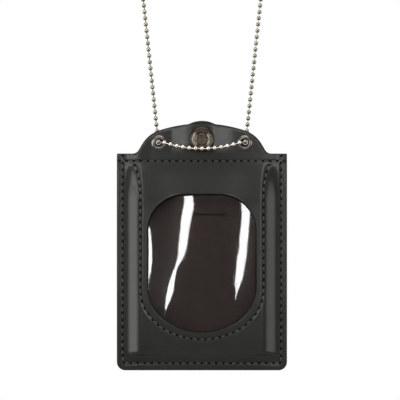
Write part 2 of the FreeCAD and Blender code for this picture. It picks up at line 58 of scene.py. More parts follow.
# The camera looks straight at the front: the width that it sees there, its distance and its place.
SPAN = 208.7
CAMERA_AWAY = 870.0
CAMERA_X = -1.0
CAMERA_Z = -29.8

# The two strip lights that the film mirrors: their place, half width, top end and distance.
STRIP_X = 120.0
STRIP_HALF = 19.0
STRIP_TOP_Z = 600
STRIP_AWAY = 950.0

# Leather body: half width, shoulders, bottom edge and corners, the hides' thickness, how far their cut edges
# are rounded, and how far the lining and the inner leather reach.
BODY_HALF = 44.5
SHOULDER_Z = -5.5
SHOULDER_ROUND = 0.8
BOTTOM_Z = -118.8
CORNER = 4.5
CORNER_X = BODY_HALF - CORNER
CORNER_Z = BOTTOM_Z + CORNER
HIDE = 1.6
THIN_HIDE = 1.2
FRONT_EDGE = 0.35
BACK_EDGE = 0.3
THIN_EDGE = 0.25
LINING_LOW_Z = -13
INNER_HIGH_Z = -13.4

# Bell-shaped tab: its crown, corner, side and hollow foot, and the angles where one passes into the next.
TAB_TOP_Z = 10.2
CROWN_RADIUS = 71.5
CROWN_END = 71.743
TAB_CORNER = (17.389, -8.594)
TAB_CORNER_RADIUS = 16
TAB_CORNER_END = 31
TAB_SIDE_END = (33.177, -3.803)
TAB_FOOT = (36.177, -2.0)
TAB_FOOT_RADIUS = 3.5

# Window: half width, top edge and corners, and its lower end, which is half an ellipse.
WINDOW_HALF = 28.1
WINDOW_TOP_Z = -26.9
WINDOW_CORNER = 19
WINDOW_MIDDLE_Z = -58
WINDOW_ARCH_Z = -75.4
WINDOW_ARCH = 23.0

# Seams: the stitches' pitch, the outer seam, the seam under the shoulders and the one round the window.
STITCH_PITCH = 3.75
SEAM_HALF = 41.4
SEAM_HIGH_Z = -6.7
SEAM_LOW_Z = -115
SEAM_CORNER = 1.4
TOP_SEAM_HALF = 43.1
TOP_SEAM_Z = -9.5
WINDOW_SEAM_HALF = 32
WINDOW_SEAM_ARCH_Z = -77
WINDOW_SEAM_ARCH = 25.3
FLARE_Z = -27
FLARE_RADIUS = 41.54
FLARE_END = 158.1

# Places of the snap and the eyelets, and the holes there in the front and round the chain in the lining.
SNAP_Z = 1.8
EYELET_X = 22.35
FRONT_HOLE = 2.4
LINING_HOLE = 1.35

# Ball chain: its balls and pins, and the route of the neck stretch with the ball in each eyelet, the foot
# and the lean of each strand, the arch at the top and the connector there. A pin is shorter than the step
# between two balls, the front's end pins stop short of the balls in the eyelets, and its ends there keep the
# darker nickel as painted shade.
BALL_RADIUS = 1.2
NECK_PIN = 0.36
FRONT_PIN = 0.29
PIN_SHORTER = 2.2
PIN_STOP = 1.35
SHADED_END_X = 21.2
CHAIN_Y = 3.3
KNUCKLE = (22.65, 1.08, 0.5)
FOOT = (23.2, CHAIN_Y, 2.893)
LEAN = math.radians(6)
ARCH_Z = 79.317
ARCH_CORNER = 31.061 / math.cos(math.radians(16))
CONNECTOR_Z = 110.2148
NECK_STEPS = 38
END_BALL_X = 3.15
FRONT_STEPS = 14


# Colours and nodes

def linear(hex_colour):
    """An sRGB hex colour as the linear RGBA that shaders take."""
    parts = [int(hex_colour[i:i + 2], 16) / 255 for i in (1, 3, 5)]
    return [p / 12.92 if p <= 0.04045 else ((p + 0.055) / 1.055) ** 2.4 for p in parts] + [1.0]


def add(tree, kind, links=(), **settings):
    """Adds a node: links is a list of (input, value or output socket)."""
    node = tree.nodes.new(kind)
    for key, value in settings.items():
        setattr(node, key, value)
    for name, source in links:
        if isinstance(source, bpy.types.NodeSocket):
            tree.links.new(source, node.inputs[name])
        else:
            node.inputs[name].default_value = source
    return node


def blank_material(name, settings):
    """A material with a plain shader: settings is a list of (input, value)."""
    material = bpy.data.materials.new(name)
    material.use_nodes = True
    tree = material.node_tree
    tree.nodes.clear()
    shader = add(tree, "ShaderNodeBsdfPrincipled", settings)
    add(tree, "ShaderNodeOutputMaterial", [("Surface", shader.outputs[0])])
    coords = add(tree, "ShaderNodeTexCoord").outputs["Object"]
    return material, tree, shader, coords


def noise(tree, coords, size_mm, detail=2.0):
    links = [("Vector", coords), ("Scale", 1 / (size_mm * MM)), ("Detail", detail)]
    return add(tree, "ShaderNodeTexNoise", links).outputs["Fac"]


def tint(tree, shader, factor, dark, light):
    """Colours a shader between two hex colours."""
    links = [("Factor", factor), ("A", linear(dark)), ("B", linear(light))]
    tone = add(tree, "ShaderNodeMix", links, data_type="RGBA")
    tree.links.new(tone.outputs["Result"], shader.inputs["Base Color"])


def gloss(tree, shader, factor, low, high):
    """Lets the roughness of a shader go from low to high with a factor."""
    rough = add(tree, "ShaderNodeMapRange", [("Value", factor), ("To Min", low), ("To Max", high)])
    tree.links.new(rough.outputs["Result"], shader.inputs["Roughness"])


def emboss(tree, normal, height, depth_mm, strength=1.0):
    """Gives a normal input the relief of a height."""
    links = [("Height", height), ("Distance", depth_mm * MM), ("Strength", strength)]
    tree.links.new(add(tree, "ShaderNodeBump", links).outputs["Normal"], normal)


def leather(name, dark, light, roughness, grain_mm, relief_mm, shine, coat, stretch=(1, 1, 1)):
    """Smooth dyed cowhide: cloudy dye and a fine pored grain under a thin, glossy finish.

    The real pores are near 0.2 mm, too fine for the picture, so the grain is drawn coarser."""
    settings = [("Specular IOR Level", shine), ("Coat Weight", coat), ("Coat Roughness", 0.13)]
    material, tree, shader, coords = blank_material(name, settings)
    drawn = add(tree, "ShaderNodeVectorMath", [(0, coords), (1, stretch)], operation="MULTIPLY").outputs[0]
    cloud = noise(tree, drawn, 14, 3.0)
    tint(tree, shader, cloud, dark, light)
    cells = add(tree, "ShaderNodeTexVoronoi", [("Vector", coords), ("Scale", 1 / (grain_mm * MM))],
                feature="DISTANCE_TO_EDGE")
    height = add(tree, "ShaderNodeMath", [(0, cells.outputs["Distance"]), (1, noise(tree, coords, 0.35))],
                 operation="ADD").outputs[0]
    emboss(tree, shader.inputs["Normal"], height, relief_mm, 0.5)
    emboss(tree, shader.inputs["Coat Normal"], height, 0.16 * relief_mm)
    gloss(tree, shader, cloud, roughness - 0.05, roughness + 0.06)
    return material


def suede():
    """The flesh side of the hide, dull and fuzzy. It is near-black, darker than the grain side, partly as
    painted shade, so the inside of the pocket and the cut edges stay dark.
    """
    settings = [("Roughness", 0.95), ("Specular IOR Level", 0.05)]
    material, tree, shader, coords = blank_material("black_suede_with_painted_shade", settings)
    tint(tree, shader, noise(tree, coords, 0.6, 4.0), "#070707", "#151413")
    return material


def metal(name, colour, tarnish, roughness, patch_mm):
    """Plated metal: mirror-like, with faint darker patches where the plating has dulled."""
    material, tree, shader, coords = blank_material(name, [("Metallic", 1.0)])
    patch = noise(tree, coords, patch_mm, 4.0)
    tint(tree, shader, patch, tarnish, colour)
    gloss(tree, shader, patch, roughness + 0.1, roughness - 0.04)
    return material


def waxed_thread():
    """Waxed polyester thread: dark and slightly shiny, with the slanting ridges of its twist."""
    material, tree, shader, coords = blank_material("waxed_thread", [("Roughness", 0.5)])
    links = [("Vector", coords), ("Scale", 1 / (3.2 * MM)), ("Distortion", 1.5)]
    twist = add(tree, "ShaderNodeTexWave", links, bands_direction="DIAGONAL").outputs["Fac"]
    tint(tree, shader, twist, "#141413", "#3c3c3a")
    emboss(tree, shader.inputs["Normal"], twist, 0.06)
    return material


def painted_hole_shade():
    """Painted shade for the shadowed inside of a needle hole, where the thread goes down: almost no light
    comes back.
    """
    settings = [("Roughness", 0.9), ("Specular IOR Level", 0.1)]
    material, tree, shader, coords = blank_material("painted_hole_shade", settings)
    tint(tree, shader, noise(tree, coords, 0.4), "#020202", "#0a0a09")
    return material


def clear_film():
    """Calendered clear PVC: sharp reflections, and a faint unevenness that wavers in them."""
    settings = [("Base Color", linear("#f4f4f2")), ("Roughness", 0.03), ("IOR", 1.53),
                ("Transmission Weight", 1.0)]
    material, tree, shader, coords = blank_material("clear_pvc_film", settings)
    emboss(tree, shader.inputs["Normal"], noise(tree, coords, 9, 1.0), 0.03, 0.4)
    return material


# The outside is black with a soft gloss, and the leather behind the window is browner, streaky and dull.
BLACK_LEATHER = leather("black_cowhide", "#191a17", "#252622", 0.5, 1.3, 0.05, 0.14, 0.35)
INNER_LEATHER = leather("brown_black_cowhide", "#1b1a19", "#2e2220", 0.6, 1.6, 0.06, 0.06, 0.0,
                        (1.8, 1, 0.3))
# The flesh side covers the back faces and cut edges; its near-black is partly painted shade.
FLESH_SIDE_AND_SHADE = suede()
THREAD = waxed_thread()
HOLE_SHADE = painted_hole_shade()
# The snap is dark gunmetal; its ring at both sides takes a lighter copy as a painted highlight.
GUNMETAL = metal("gunmetal_plate", "#453e35", "#393129", 0.24, 3.5)
GUNMETAL_HIGHLIGHT = metal("gunmetal_plate_painted_highlight", "#a49c93", "#4d453c", 0.22, 1.6)
DARK_NICKEL = metal("dark_nickel_plate", "#79746e", "#4a4541", 0.2, 2.0)
# The chain's nickel has two copies: the darker on the strands, the lighter across the front as a painted
# highlight.
CHAIN_NICKEL = metal("nickel_plated_ball_chain", "#a8a497", "#6e6a5c", 0.18, 1.5)
NICKEL_HIGHLIGHT = metal("nickel_plated_ball_chain_painted_highlight", "#efe5de", "#b8afa6", 0.2, 1.5)
SPRING_STEEL = metal("drawn_spring_steel", "#a3a3a0", "#7d7d7a", 0.3, 1.0)
CLEAR_FILM = clear_film()


# Making pieces

def piece(bm, name, body, finishes, nodes, crease=40):
    """Places a mesh drawn in millimetres, with its finishes and the nodes that it stands for.

    It rides on a body, if one is given."""
    bm.transform(TO_ROW)
    mesh = bpy.data.meshes.new(name)
    bm.to_mesh(mesh)
    bm.free()
    mesh.shade_smooth()
    mesh.set_sharp_from_angle(angle=math.radians(crease))
    for finish in finishes:
        mesh.materials.append(finish)
    obj = bpy.data.objects.new(name, mesh)
    bpy.context.scene.collection.objects.link(obj)
    if body:
        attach(obj, body)
    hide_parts(*nodes)
    return obj


def settle(obj):
    """Applies the modifiers of a piece to its mesh."""
    ready = obj.evaluated_get(bpy.context.evaluated_depsgraph_get())
    mesh = bpy.data.meshes.new_from_object(ready)
    obj.modifiers.clear()
    obj.data = mesh


def thicken(obj, thickness, edge):
    """Gives a sheet its thickness behind its face, and soft edges."""
    wall = obj.modifiers.new("thickness", "SOLIDIFY")
    wall.thickness = thickness * MM
    wall.offset = -1
    wall.use_even_offset = True
    # The back face, the cut edges and their rounding take the last finish; where that is the flesh side, its
    # near-black is partly painted shade.
    wall.material_offset = len(obj.data.materials) - 1
    wall.material_offset_rim = wall.material_offset
    rim = obj.modifiers.new("edges", "BEVEL")
    rim.material = wall.material_offset
    rim.width = edge * MM
    rim.segments = 2
    rim.limit_method = "ANGLE"
    rim.angle_limit = math.radians(60)
    settle(obj)


def punch(obj, cutters):
    """Cuts holes, each drawn as a closed mesh in millimetres, through a piece."""
    for bm in cutters:
        bm.transform(TO_ROW)
        mesh = bpy.data.meshes.new("punch")
        bm.to_mesh(mesh)
        bm.free()
        tool = bpy.data.objects.new("punch", mesh)
        bpy.context.scene.collection.objects.link(tool)
        cut = obj.modifiers.new("hole", "BOOLEAN")
        cut.operation = "DIFFERENCE"
        cut.solver = "EXACT"
        cut.object = tool
        settle(obj)
        bpy.data.objects.remove(tool)


def round_punch(radius, x, z):
    """A cutter for a round hole, longer than the wallet is deep."""
    bm = bmesh.new()
    turn = Matrix.Translation((x, 0, z)) @ Matrix.Rotation(math.pi / 2, 4, "X")
    bmesh.ops.create_cone(bm, cap_ends=True, segments=40, radius1=radius, radius2=radius, depth=24,
                          matrix=turn)
    return bm


def face_towards(bm, direction):
    """Turns the faces of an open sheet to look along a direction."""
    bm.normal_update()
    total = sum((f.normal * f.calc_area() for f in bm.faces), Vector())
    if total.dot(Vector(direction)) < 0:
        bmesh.ops.reverse_faces(bm, faces=bm.faces[:])


def turned(profile, x, z, steps=72):
    """A ring or disc turned about a line along Y from the (radius, y) corners of its profile."""
    bm = bmesh.new()
    verts = [bm.verts.new((x + radius, y, z)) for radius, y in profile]
    edges = [bm.edges.new(pair) for pair in zip(verts, verts[1:])]
    bmesh.ops.spin(bm, geom=verts + edges, cent=(x, 0, z), axis=(0, 1, 0), angle=2 * math.pi, steps=steps,
                   use_merge=True)
    bmesh.ops.remove_doubles(bm, verts=bm.verts[:], dist=0.001)
    bmesh.ops.recalc_face_normals(bm, faces=bm.faces[:])
    return bm


# Outlines

def run(a, b, steps):
    """Points after a, up to b."""
    shares = [i / steps for i in range(1, steps + 1)]
    return [(a[0] + (b[0] - a[0]) * share, a[1] + (b[1] - a[1]) * share) for share in shares]


def bend(cx, cz, radius, start, end, steps):
    """Points on an arc after its start, by angles in degrees from +X towards +Z."""
    turns = [math.radians(start + (end - start) * i / steps) for i in range(1, steps + 1)]
    return [(cx + radius * math.cos(t), cz + radius * math.sin(t)) for t in turns]


def bell_half():
    """The right half of the tab and shoulder, from the top of the crown to the side of the body."""
    points = [(0, TAB_TOP_Z)] + bend(0, TAB_TOP_Z - CROWN_RADIUS, CROWN_RADIUS, 90, CROWN_END, 22)
    points += bend(*TAB_CORNER, TAB_CORNER_RADIUS, CROWN_END, TAB_CORNER_END, 14)
    points += run(points[-1], TAB_SIDE_END, 4)
    points += bend(*TAB_FOOT, TAB_FOOT_RADIUS, 180 + TAB_CORNER_END, 270, 8)
    shoulder_x = BODY_HALF - SHOULDER_ROUND
    points += run(points[-1], (shoulder_x, SHOULDER_Z), 8)
    return points + bend(shoulder_x, SHOULDER_Z - SHOULDER_ROUND, SHOULDER_ROUND, 90, 0, 4)


def both_halves(half):
    """A closed outline from its right half, whose first and last points lie on the middle line."""
    return half + [(-x, z) for x, z in reversed(half[1:-1])]


def wallet_outline():
    half = bell_half()
    half += run(half[-1], (BODY_HALF, CORNER_Z), 104) + bend(CORNER_X, CORNER_Z, CORNER, 0, -90, 9)
    return both_halves(half + run(half[-1], (0, BOTTOM_Z), 39))


def in_window(x, z):
    corner_x = WINDOW_HALF - WINDOW_CORNER
    corner_z = WINDOW_TOP_Z - WINDOW_CORNER
    if z < WINDOW_ARCH_Z:
        return (x / WINDOW_HALF) ** 2 + ((z - WINDOW_ARCH_Z) / WINDOW_ARCH) ** 2 < 1
    if z > corner_z and abs(x) > corner_x:
        return (abs(x) - corner_x) ** 2 + (z - corner_z) ** 2 < WINDOW_CORNER ** 2
    return abs(x) < WINDOW_HALF and z < WINDOW_TOP_Z


def window_point(x, z):
    """Where the line from the window's middle to a point crosses the window's edge."""
    near = 0.0
    far = 1.0
    for _ in range(30):
        share = (near + far) / 2
        if in_window(x * share, WINDOW_MIDDLE_Z + (z - WINDOW_MIDDLE_Z) * share):
            near = share
        else:
            far = share
    return x * near, WINDOW_MIDDLE_Z + (z - WINDOW_MIDDLE_Z) * near


# Seams: places of the needle holes

def spaced(points, pitch):
    """Points at an even pitch along a line."""
    lengths = [0.0]
    for a, b in zip(points, points[1:]):
        lengths.append(lengths[-1] + math.dist(a, b))
    count = round(lengths[-1] / pitch)
    places = []
    i = 0
    for step in range(count + 1):
        target = lengths[-1] * step / count
        while i < len(points) - 2 and lengths[i + 1] < target:
            i += 1
        share = (target - lengths[i]) / (lengths[i + 1] - lengths[i])
        places.append(tuple(a + (b - a) * share for a, b in zip(points[i], points[i + 1])))
    return places


def both_sides(right):
    """An open line from its right half, whose first point lies on the middle line."""
    return [(-x, z) for x, z in reversed(right)] + right[1:]


def perimeter_seam():
    corner_x = SEAM_HALF - SEAM_CORNER
    right = [(0, SEAM_LOW_Z)] + run((0, SEAM_LOW_Z), (corner_x, SEAM_LOW_Z), 20)
    right += bend(corner_x, SEAM_LOW_Z + SEAM_CORNER, SEAM_CORNER, -90, 0, 6)
    return both_sides(right + run(right[-1], (SEAM_HALF, SEAM_HIGH_Z), 60))


def top_seam():
    start = (-TOP_SEAM_HALF, TOP_SEAM_Z)
    return [start] + run(start, (TOP_SEAM_HALF, TOP_SEAM_Z), 40)


def window_seam():
    half = WINDOW_SEAM_HALF
    turns = [math.pi / 2 * i / 40 for i in range(41)]
    right = [(half * math.sin(t), WINDOW_SEAM_ARCH_Z - WINDOW_SEAM_ARCH * math.cos(t)) for t in turns]
    right += run(right[-1], (half, FLARE_Z), 20)
    return both_sides(right + bend(half + FLARE_RADIUS, FLARE_Z, FLARE_RADIUS, 180, FLARE_END, 12))


def search_tree(points):
    tree = kdtree.KDTree(len(points))
    for i, (x, z) in enumerate(points):
        tree.insert((x, 0, z), i)
    tree.balance()
    return tree


def distance(tree, x, z):
    """How far a place is from the nearest point of a search tree."""
    return tree.find((x, 0, z))[2]


FRONT_SEAMS = (perimeter_seam(), top_seam(), window_seam())
SEAM_POINTS = search_tree([point for seam in FRONT_SEAMS for point in spaced(seam, 0.4)])
EDGE_POINTS = search_tree(wallet_outline())


# Form of the front leather

# Moulded plateau: half width and lower end at its foot, its rise, and the width of its slopes. The lower
# slope narrows at its ends, from a distance from the middle on, and the upper one is steeper at the sides.
PLATEAU_HALF = 40.4
PLATEAU_LOW_Z = -112.6
PLATEAU_RISE = 3.4
SIDE_SLOPE = 9.2
LOWER_SLOPE = 6.4
NARROWING = 2.2
NARROWING_X = 20
NARROWING_REACH = 16
UPPER_SLOPE_Z = -11
UPPER_SLOPE = 25
STEEPER_SLOPE = 20
STEEPER_X = 4
STEEPER_REACH = 30

# Depth and half width of the groove that a seam pulls in, depth and width of the rolled cut edge, and how
# much the border leans back outside the outer seam.
GROOVE_DEPTH = 0.14
GROOVE_HALF = 0.65
ROLL_DEPTH = 0.25
ROLL_WIDTH = 1.2
BORDER_LEAN = 0.02

# The tab bows out by this much round the snap. Its slope, at distances from its middle, falls away from the
# snap on both sides and ends in a crease at the left.
TAB_SWELL = 0.6
TAB_SWELL_Z = -8.5
TAB_SWELL_REACH = 9
TAB_LEFT = [(3.5, 0), (6.2, 0.033), (10, 0.0535), (12, 0.0508), (16, 0.0396)]
TAB_RIGHT = [(4, 0), (6.5, 0.066), (12, 0.0508), (18, 0.012), (21, 0)]

# The bulge of the left shoulder: its height, and where it ends and how wide its slope is at the left, at
# the right and below.
SHOULDER_SWELL = 0.17
SWELL_LEFT = (-41.2, 7.6)
SWELL_RIGHT = (-26, 7)
SWELL_BELOW = (-10.2, 1.4)


def clamp(share):
    return min(1.0, max(0.0, share))


def ramp(share, ease):
    """From 0 to 1 along a straight slope with rounded ends."""
    share = clamp(share)
    if share > 0.5:
        return 1 - ramp(1 - share, ease)
    return share ** 2 / (2 * ease * (1 - ease)) if share < ease else (share - ease / 2) / (1 - ease)


def slow_rise(z):
    """The slow rise of the moulded front below the top seam, from 0 to 1."""
    return ramp((UPPER_SLOPE_Z - z) / UPPER_SLOPE, 0.3)


def mould(x, z, rise):
    """How far the moulded front stands out from the flat leather, from the rise of its upper slope."""
    lower_slope = LOWER_SLOPE - NARROWING * ramp((abs(x) - NARROWING_X) / NARROWING_REACH, 0.4)
    side = 1 - clamp((PLATEAU_HALF - abs(x)) / SIDE_SLOPE)
    foot = 1 - clamp((z - PLATEAU_LOW_Z) / lower_slope)
    return PLATEAU_RISE * ramp(1 - (side ** 3 + foot ** 3) ** (1 / 3), 0.42) * rise


def tab_swell(x, z):
    """How far the tab bows out round the snap."""
    slopes = TAB_LEFT if x < 0 else TAB_RIGHT
    fall = 0.0
    for (a, low), (b, high) in zip(slopes, slopes[1:]):
        part = min(b, max(a, abs(x))) - a
        fall += part * (low + (high - low) * part / (b - a) / 2)
    return (TAB_SWELL - fall) * ramp((z - TAB_SWELL_Z) / TAB_SWELL_REACH, 0.4)


def shoulder_swell(x, z):
    """How far the left shoulder bulges between the tab and its outer edge."""
    left = ramp((x - SWELL_LEFT[0]) / SWELL_LEFT[1], 0.12)
    right = ramp((SWELL_RIGHT[0] - x) / SWELL_RIGHT[1], 0.4)
    below = ramp((z - SWELL_BELOW[0]) / SWELL_BELOW[1], 0.3)
    return SHOULDER_SWELL * left * right * below


def front_face(x, z):
    """Y of the front leather's face: moulding, sewn grooves, rolled edges, swells of tab and shoulder."""
    rise = slow_rise(z)
    steeper = ramp((TOP_SEAM_Z - z) / STEEPER_SLOPE, 0.1)
    rise += (steeper - rise) * ramp((abs(x) - STEEPER_X) / STEEPER_REACH, 0.4)
    y = -HIDE - mould(x, z, rise)
    y += GROOVE_DEPTH * math.exp(-(distance(SEAM_POINTS, x, z) / GROOVE_HALF) ** 2)
    y += ROLL_DEPTH * max(0.0, 1 - distance(EDGE_POINTS, x, z) / ROLL_WIDTH) ** 2
    y -= BORDER_LEAN * max(0.0, abs(x) - SEAM_HALF)
    return y - tab_swell(x, z) - shoulder_swell(x, z)


def front_leather():
    """A sheet grown ring by ring from the wallet's outline in to the window's edge."""
    outline = wallet_outline()
    window = [window_point(x, z) for x, z in outline]
    bm = bmesh.new()
    loop = [bm.verts.new((x, 0, z)) for x, z in outline]
    for a, b in zip(loop, loop[1:] + loop[:1]):
        bm.edges.new((a, b))
    for share in [0.03 + 0.94 * i / 54 for i in range(55)] + [1.0]:
        edges = [bm.edges.get(pair) for pair in zip(loop, loop[1:] + loop[:1])]
        grown = bmesh.ops.extrude_edge_only(bm, edges=edges)["geom"]
        fresh = {g for g in grown if isinstance(g, bmesh.types.BMVert)}
        loop = [next(e.other_vert(v) for e in v.link_edges if e.other_vert(v) in fresh) for v in loop]
        for vert, (ox, oz), (wx, wz) in zip(loop, outline, window):
            vert.co = (ox + (wx - ox) * share, 0, oz + (wz - oz) * share)
    for vert in bm.verts:
        vert.co.y = front_face(vert.co.x, vert.co.z)
    face_towards(bm, (0, -1, 0))
    obj = piece(bm, "front_leather", "wallet", [BLACK_LEATHER, FLESH_SIDE_AND_SHADE], ["front_panel"])
    thicken(obj, HIDE, FRONT_EDGE)
    punch(obj, [round_punch(FRONT_HOLE, side * EYELET_X, 0) for side in (-1, 1)])


# Flat leather pieces behind the front

def slab(outline):
    """A flat piece of thin leather behind the front, with rounded cut edges."""
    bm = bmesh.new()
    face = bm.faces.new([bm.verts.new((x, 0, z)) for x, z in outline])
    grown = bmesh.ops.extrude_face_region(bm, geom=[face])["geom"]
    bmesh.ops.translate(bm, verts=[g for g in grown if isinstance(g, bmesh.types.BMVert)],
                        vec=(0, THIN_HIDE, 0))
    bmesh.ops.recalc_face_normals(bm, faces=bm.faces[:])
    rim = [e for e in bm.edges if e.calc_face_angle(0) > 1.3]
    bmesh.ops.bevel(bm, geom=rim, offset=THIN_EDGE, segments=2, profile=0.5, affect="EDGES", material=-1)
    return bm


def tab_lining():
    """The lining closes in round the chain inside the eyelets, so that their holes look dark."""
    low_corner = (BODY_HALF, LINING_LOW_Z)
    half = bell_half()
    half += run(half[-1], low_corner, 6) + run(low_corner, (0, LINING_LOW_Z), 4)
    obj = piece(slab(both_halves(half)), "tab_lining_leather", "wallet", [BLACK_LEATHER],
                ["tab_lining"])
    punch(obj, [round_punch(LINING_HOLE, side * KNUCKLE[0], KNUCKLE[2]) for side in (-1, 1)])


# The slit for a badge's clip: its height on the inner leather, width, and the holes that end it.
SLIT_Z = -37.4
SLIT_LENGTH = 22.8
SLIT_WIDTH = 0.8
SLIT_END_X = 11.35
SLIT_END_RADIUS = 0.9


def badge_panel():
    high_corner = (BODY_HALF, INNER_HIGH_Z)
    half = [(0, INNER_HIGH_Z), high_corner] + run(high_corner, (BODY_HALF, CORNER_Z), 20)
    half += bend(CORNER_X, CORNER_Z, CORNER, 0, -90, 9) + [(0, BOTTOM_Z)]
    obj = piece(slab(both_halves(half)), "badge_panel_leather", "wallet", [INNER_LEATHER],
                ["badge_panel"])
    slit = bmesh.new()
    bmesh.ops.create_cube(slit, size=1, matrix=Matrix.Translation((0, 0, SLIT_Z))
                          @ Matrix.Diagonal((SLIT_LENGTH, 8, SLIT_WIDTH, 1)))
    punch(obj, [slit] + [round_punch(SLIT_END_RADIUS, side * SLIT_END_X, SLIT_Z) for side in (-1, 1)])


def corner_rows(low_z, radius, high_z, count):
    """Heights of a panel's rows, close together where its bottom corners are round."""
    rows = [low_z + radius * (1 - math.cos(math.pi / 2 * i / 10)) for i in range(10)]
    return rows + [low_z + radius + (high_z - low_z - radius) * i / count for i in range(count + 1)]


def round_half(half, z, low_z, radius):
    """Half width of a panel with round bottom corners at a height."""
    rise = radius - (z - low_z)
    return half if rise <= 0 else half - radius + math.sqrt(max(0.0, radius ** 2 - rise ** 2))


def panel(rows, columns, half_at, face_y):
    """A sheet of even columns between its edges, one row of points for each height."""
    bm = bmesh.new()
    bmesh.ops.create_grid(bm, x_segments=columns, y_segments=len(rows) - 1, size=1)
    for vert in bm.verts:
        z = rows[round((vert.co.y + 1) / 2 * (len(rows) - 1))]
        x = vert.co.x * half_at(z)
        vert.co = (x, face_y(x, z), z)
    return bm


# Back leather: its face, the card pocket's half width, slope and rise, its rolled edge and its groove.
BACK_Y = 2.8
POCKET_HALF = 40.7
POCKET_SLOPE = 3.0
POCKET_RISE = 1.2
BACK_ROLL_DEPTH = 0.3
BACK_ROLL_WIDTH = 2.2
BACK_GROOVE_DEPTH = 0.18
BACK_GROOVE_HALF = 0.8


def back_face(x, z):
    """Y of the back leather's face, with its flat card pocket, sewn groove and rolled edge."""
    swell = ramp((POCKET_HALF - abs(x)) / POCKET_SLOPE, 0.3) * ramp((z - PLATEAU_LOW_Z) / POCKET_SLOPE, 0.3)
    edge = min(BODY_HALF - abs(x), z - BOTTOM_Z)
    seam = min(abs(abs(x) - SEAM_HALF), abs(z - SEAM_LOW_Z))
    roll = BACK_ROLL_DEPTH * max(0.0, 1 - edge / BACK_ROLL_WIDTH) ** 2
    groove = BACK_GROOVE_DEPTH * math.exp(-(seam / BACK_GROOVE_HALF) ** 2)
    return BACK_Y + POCKET_RISE * swell - roll - groove


def back_leather():
    rows = corner_rows(BOTTOM_Z, CORNER, SHOULDER_Z, 100)
    bm = panel(rows, 110, lambda z: round_half(BODY_HALF, z, BOTTOM_Z, CORNER), back_face)
    face_towards(bm, (0, 1, 0))
    obj = piece(bm, "back_leather", "wallet", [BLACK_LEATHER, FLESH_SIDE_AND_SHADE], ["back_panel"])
    thicken(obj, HIDE, BACK_EDGE)


# Closing strap: one strip of leather, sewn on below its fold. Its half width, lower end and corners, its
# round upper end, its face and how far and where that lifts at the fold, and the box of its seam.
STRAP_HALF = 10
STRAP_LOW_Z = -40.15
STRAP_CORNER = 3
STRAP_ROUND = 15
STRAP_ROUND_MIDDLE_Z = -3.2
STRAP_ROUND_Z = 7.98
STRAP_Y = 5.6
STRAP_LIFT = 0.3
STRAP_LIFT_Z = -22
STRAP_LIFT_REACH = 10
STRAP_SEAM_HALF = 7.4
STRAP_SEAM_HIGH_Z = -18.75
STRAP_SEAM_LOW_Z = -37.55


def strap_half(z):
    if z > STRAP_ROUND_Z:
        return max(0.4, math.sqrt(max(0.0, STRAP_ROUND ** 2 - (z - STRAP_ROUND_MIDDLE_Z) ** 2)))
    return round_half(STRAP_HALF, z, STRAP_LOW_Z, STRAP_CORNER)


def strap_face(x, z):
    return STRAP_Y + STRAP_LIFT * ramp((z - STRAP_LIFT_Z) / STRAP_LIFT_REACH, 0.4)


def closing_strap():
    rows = corner_rows(STRAP_LOW_Z, STRAP_CORNER, STRAP_ROUND_Z, 70)
    rows += [STRAP_ROUND_MIDDLE_Z + STRAP_ROUND * math.sin(math.radians(a)) for a in range(50, 91, 4)]
    bm = panel(rows, 40, strap_half, strap_face)
    face_towards(bm, (0, 1, 0))
    obj = piece(bm, "closing_strap", None, [BLACK_LEATHER], ["strap_base", "strap_flap"])
    thicken(obj, HIDE, BACK_EDGE)
    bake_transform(obj)


# Window film: it reaches a margin past the window seam, follows the moulded front closely there, and sags
# freely further in.
FILM_THICKNESS = 0.4
FILM_MARGIN = 1.6
FILM_HALF = WINDOW_SEAM_HALF + FILM_MARGIN
FILM_ARCH = WINDOW_SEAM_ARCH + FILM_MARGIN
FILM_LOW_Z = -103
FILM_HIGH_Z = -15
FILM_ROWS = 176
FILM_COLUMNS = 136
FILM_Y = 0.12
FILM_RISE_SHARE = 0.98
FILM_FREE = 3.6

# Each streak is where the film mirrors a strip light: the drop below the eyelets, the middle and, for the
# two wide ones, the half width. The third one lies at the window's left edge.
LEFT_STREAK = [(15, -7.6, 2.4), (27, -7.4, 2.4), (33, -7.2, 2.9), (41, -8.4, 2.7), (52, -9.8, 2.2),
               (59, -10.9, 1.3), (64.5, -13.2, 0.7), (70, -15.1, 1.0), (79, -17.0, 1.2), (84, -18.2, 0.8),
               (88, -19.1, 0.25), (105, -22, 0.25)]
RIGHT_STREAK = [(15, 23.3, 2.1), (27, 23.0, 2.1), (43, 22.5, 2.2), (63, 20.4, 2.2), (69, 19.6, 1.9),
                (74, 18.7, 1.2), (78, 18.0, 0.35), (82, 17.3, 0.15), (105, 15, 0.15)]
EDGE_STREAK = [(15, -31), (36, -30.2), (42, -29.0), (46, -28.0), (51, -27.4), (57, -27.2), (63, -27.4),
               (68, -28.0), (72, -29.0), (80, -30.2), (105, -31)]

# Half widths that the film's broad waves give the streaks, and how far round a streak its own width holds.
# At the edge streak the film bows the other way.
LEFT_HALF = 2.4
RIGHT_HALF = 2.1
EDGE_HALF = -1.0
STREAK_REACH = 2.5

# The film's sag is worked out at even steps from its middle to this far on both sides, from its slope at
# the streaks and at both ends. Its depth is fixed at the left streak.
SAG_REACH = 34
SAG_STEP = 0.5
SAG_STEPS = round(2 * SAG_REACH / SAG_STEP)
SAG_AT_LEFT = 0.45
END_X = 38
LEFT_END_SLOPE = 0.02
RIGHT_END_SLOPE = 0.08


def curve_through(table, column):
    """Knots of a smooth curve through one column of a table: place, value and slope."""
    knots = []
    for i, row in enumerate(table):
        before = table[max(0, i - 1)]
        after = table[min(len(table) - 1, i + 1)]
        knots.append((row[0], row[column], (after[column] - before[column]) / (after[0] - before[0])))
    return knots


